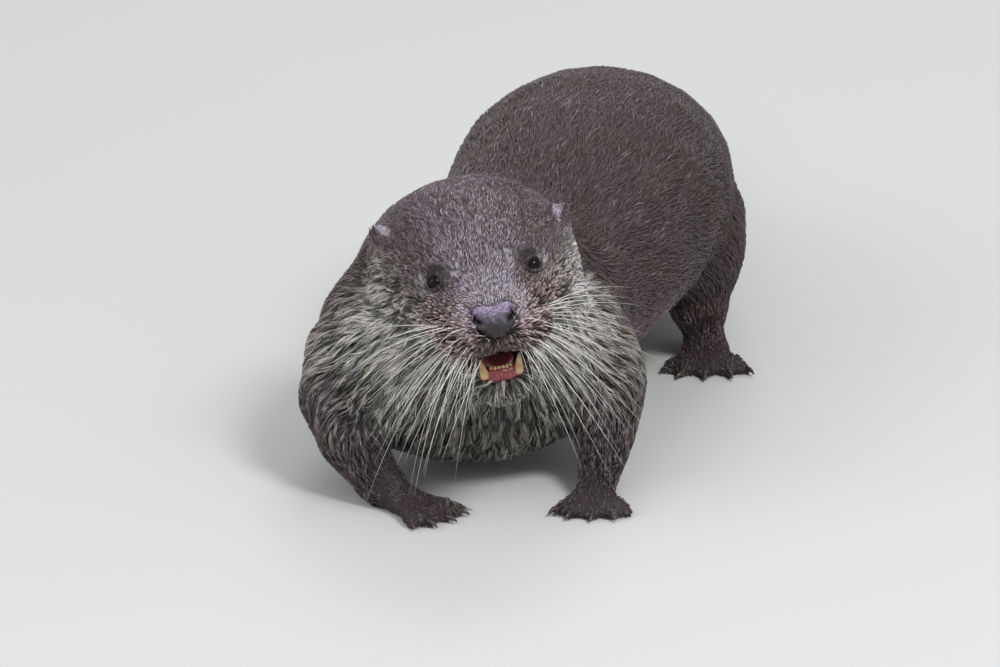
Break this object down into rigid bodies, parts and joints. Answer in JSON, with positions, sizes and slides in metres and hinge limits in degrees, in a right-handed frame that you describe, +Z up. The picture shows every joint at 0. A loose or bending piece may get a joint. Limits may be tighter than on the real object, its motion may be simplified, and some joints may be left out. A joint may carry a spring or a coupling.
{
  "type": "eurasian otter model",
  "caption": "Life-size still model of an adult Eurasian otter crouched over its forefeet, mouth slightly open, tail laid behind.",
  "frame": {"origin": "on the floor, under the middle of the whole animal's box", "axes": "+Z up; the otter faces -Y, with its own left side on +X and its tail laid towards +Y"},
  "size_m": [0.2524, 0.808, 0.1627],
  "materials": {
    "brown_coat": "short wet dark brown fur with a faint mauve sheen",
    "pale_coat": "longer wet grey-beige fur in spiky locks",
    "foot_coat": "very short dark grey fur with a lavender sheen",
    "bare_nose": "moist pebbled purple-grey skin",
    "tongue_flesh": "moist pink flesh, tongue and gums",
    "wet_eye": "wet dark brown, nearly black",
    "tooth": "yellowed enamel",
    "claw": "dull dark horn",
    "whisker": "stiff pale hairs"
  },
  "bodies": {
    "root": {"head": "brown_coat", "neck": "brown_coat", "chest": "pale_coat", "loins": "brown_coat", "rump": "brown_coat", "tail_base": "brown_coat", "tail_middle": "brown_coat", "tail_tip": "brown_coat", "lower_jaw": "pale_coat", "foreleg_left": "brown_coat", "foreleg_right": "brown_coat", "thigh_left": "brown_coat", "thigh_right": "brown_coat", "forefoot_left": "foot_coat", "forefoot_right": "foot_coat", "hindfoot_left": "foot_coat", "hindfoot_right": "foot_coat", "nose": "bare_nose", "tongue": "tongue_flesh", "eye_left": "wet_eye", "eye_right": "wet_eye", "ear_left": "brown_coat", "ear_right": "brown_coat"}
  },
  "joints": []
}
